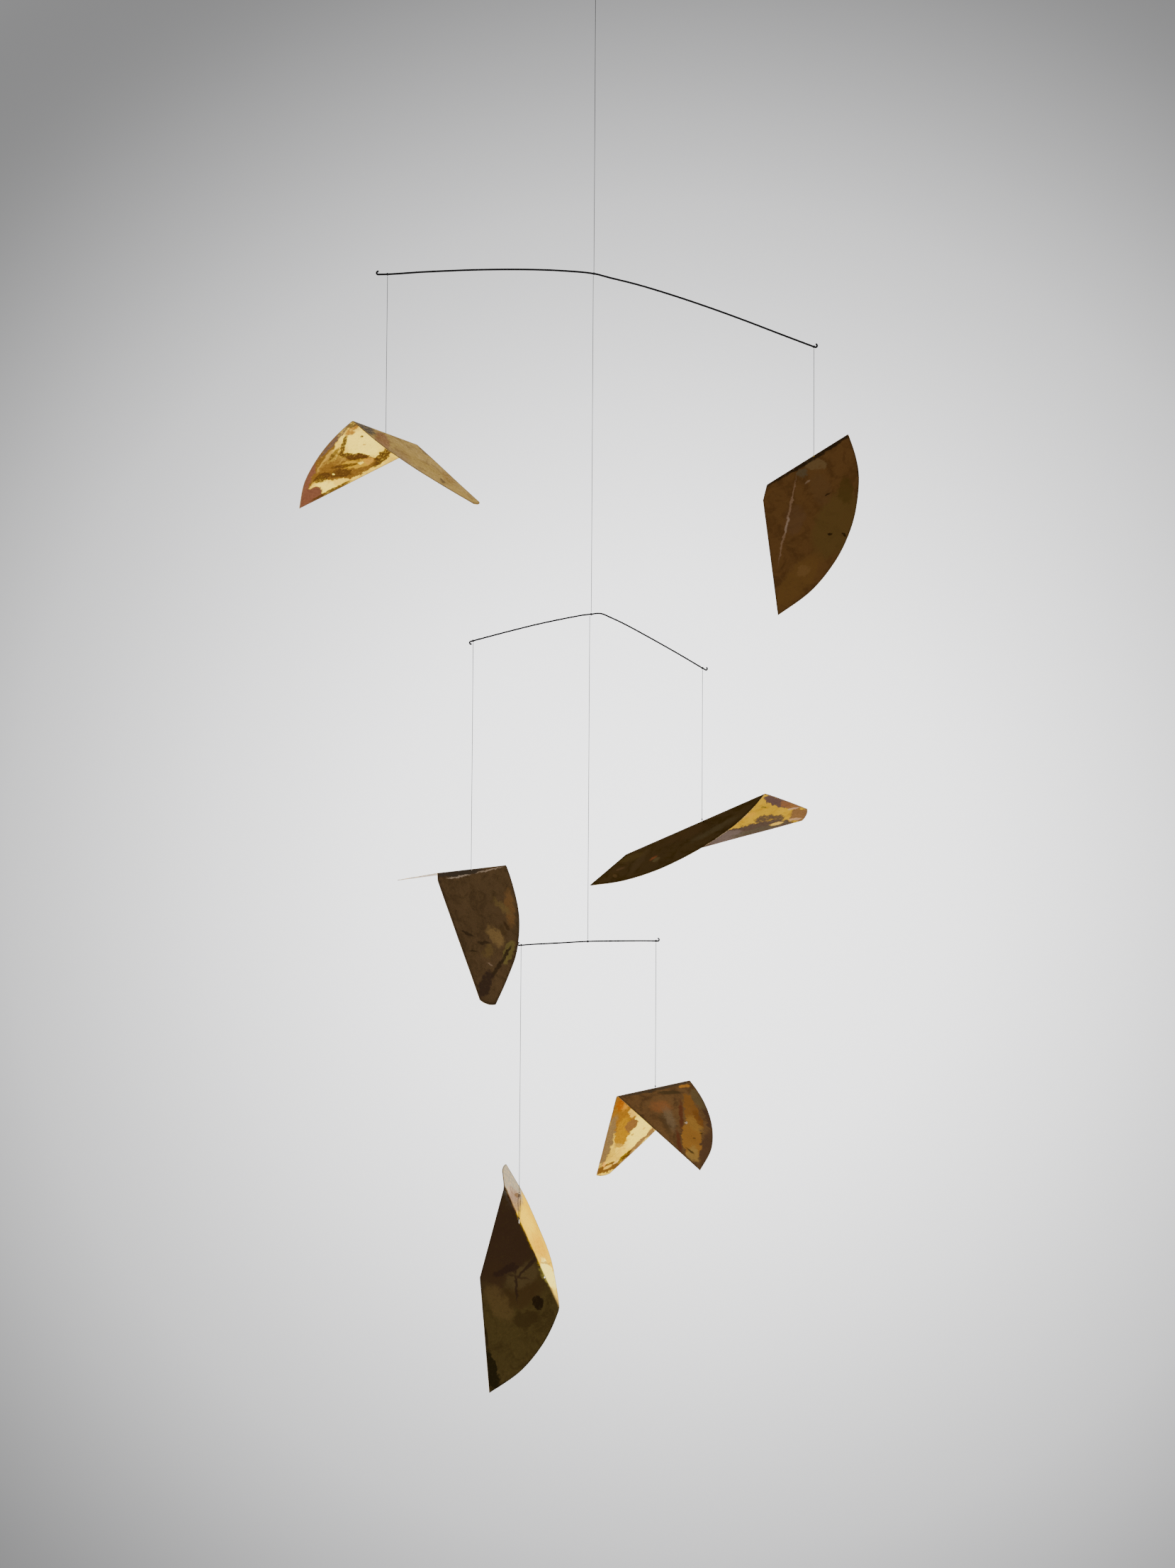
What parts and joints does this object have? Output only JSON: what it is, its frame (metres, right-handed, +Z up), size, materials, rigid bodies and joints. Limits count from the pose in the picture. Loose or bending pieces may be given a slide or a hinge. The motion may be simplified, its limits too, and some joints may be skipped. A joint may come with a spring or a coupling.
{
  "type": "hanging mobile sculpture",
  "caption": "Hanging mobile of folded brass leaves on tiers of bent wire arms, hung by fine threads from a small ceiling rose.",
  "frame": {"origin": "middle of the ceiling rose's flat top face, where the mobile is fixed to the ceiling", "axes": "+Z up, out of the rose's top face into the ceiling; +X towards the right end of the top arm; +Y towards the back"},
  "size_m": [0.5636, 0.1806, 1.4074],
  "materials": {
    "leaf_1_brass": "polished inner face gone brown in bands, olive and tan tarnish outside",
    "leaf_2_brass": "dark brown and olive mottled tarnish with one pale scratch",
    "leaf_3_brass": "dark brown and olive marbled tarnish, pale scuffs along the fold",
    "leaf_4_brass": "very dark brown outside, gold with purple-brown stains inside",
    "leaf_5_brass": "brown and orange-gold heat stains, bright pale gold inside",
    "leaf_6_brass": "purple-brown stain over smooth olive brown, gold and cream inside",
    "blackened_wire": "blackened steel wire, satin",
    "dark_thread": "fine dark twisted thread",
    "rose_metal": "dark bronze paint, satin"
  },
  "bodies": {
    "ceiling": {"ceiling_rose": "rose_metal", "tie_ceiling_eye": "dark_thread", "thread_arm_1": "dark_thread"},
    "arm_1": {"arm_1": "blackened_wire", "tie_arm_1_middle": "dark_thread", "tie_arm_1_left": "dark_thread", "tie_arm_1_right": "dark_thread"},
    "arm_2": {"arm_2": "blackened_wire", "tie_arm_2_middle": "dark_thread", "tie_arm_2_left": "dark_thread", "tie_arm_2_right": "dark_thread", "thread_arm_2": "dark_thread"},
    "arm_3": {"arm_3": "blackened_wire", "tie_arm_3_middle": "dark_thread", "tie_arm_3_left": "dark_thread", "tie_arm_3_right": "dark_thread", "thread_arm_3": "dark_thread"},
    "leaf_1": {"knot_leaf_1": "dark_thread", "leaf_1": "leaf_1_brass", "thread_leaf_1": "dark_thread"},
    "leaf_2": {"knot_leaf_2": "dark_thread", "leaf_2": "leaf_2_brass", "thread_leaf_2": "dark_thread"},
    "leaf_3": {"knot_leaf_3": "dark_thread", "leaf_3": "leaf_3_brass", "thread_leaf_3": "dark_thread"},
    "leaf_4": {"knot_above_leaf_4": "dark_thread", "knot_leaf_4": "dark_thread", "leaf_4": "leaf_4_brass", "thread_leaf_4": "dark_thread"},
    "leaf_5": {"knot_above_leaf_5": "dark_thread", "knot_leaf_5": "dark_thread", "leaf_5": "leaf_5_brass", "thread_leaf_5": "dark_thread"},
    "leaf_6": {"knot_leaf_6": "dark_thread", "leaf_6": "leaf_6_brass", "loop_leaf_6": "dark_thread", "thread_leaf_6": "dark_thread"}
  },
  "joints": [
    {"name": "arm_1_swivel", "type": "hinge", "parent": "ceiling", "child": "arm_1", "pos_m": [0, 0, -0.16612], "axis": [0, 0, 1], "continuous": true},
    {"name": "arm_2_swivel", "type": "hinge", "parent": "arm_1", "child": "arm_2", "pos_m": [-0.0006, 0, -0.4794], "axis": [0, 0, 1], "continuous": true},
    {"name": "arm_3_swivel", "type": "hinge", "parent": "arm_2", "child": "arm_3", "pos_m": [-0.0021, 0, -0.81217], "axis": [0, 0, 1], "continuous": true},
    {"name": "leaf_1_swivel", "type": "hinge", "parent": "arm_1", "child": "leaf_1", "pos_m": [-0.2063, 0, -0.39184], "axis": [0, 0, 1], "continuous": true},
    {"name": "leaf_2_swivel", "type": "hinge", "parent": "arm_1", "child": "leaf_2", "pos_m": [0.22, 0, -0.43763], "axis": [0, 0, 1], "continuous": true},
    {"name": "leaf_3_swivel", "type": "hinge", "parent": "arm_2", "child": "leaf_3", "pos_m": [-0.11558, -0.03736, -0.79441], "axis": [0, 0, 1], "range_deg": [-150, 60]},
    {"name": "leaf_4_swivel", "type": "hinge", "parent": "arm_2", "child": "leaf_4", "pos_m": [0.112, 0.03659, -0.77806], "axis": [0, 0, 1], "continuous": true},
    {"name": "leaf_5_swivel", "type": "hinge", "parent": "arm_3", "child": "leaf_5", "pos_m": [0.06556, 0.01193, -1.04734], "axis": [0, 0, 1], "continuous": true},
    {"name": "leaf_6_swivel", "type": "hinge", "parent": "arm_3", "child": "leaf_6", "pos_m": [-0.06739, -0.01151, -1.09831], "axis": [0, 0, 1], "continuous": true}
  ]
}
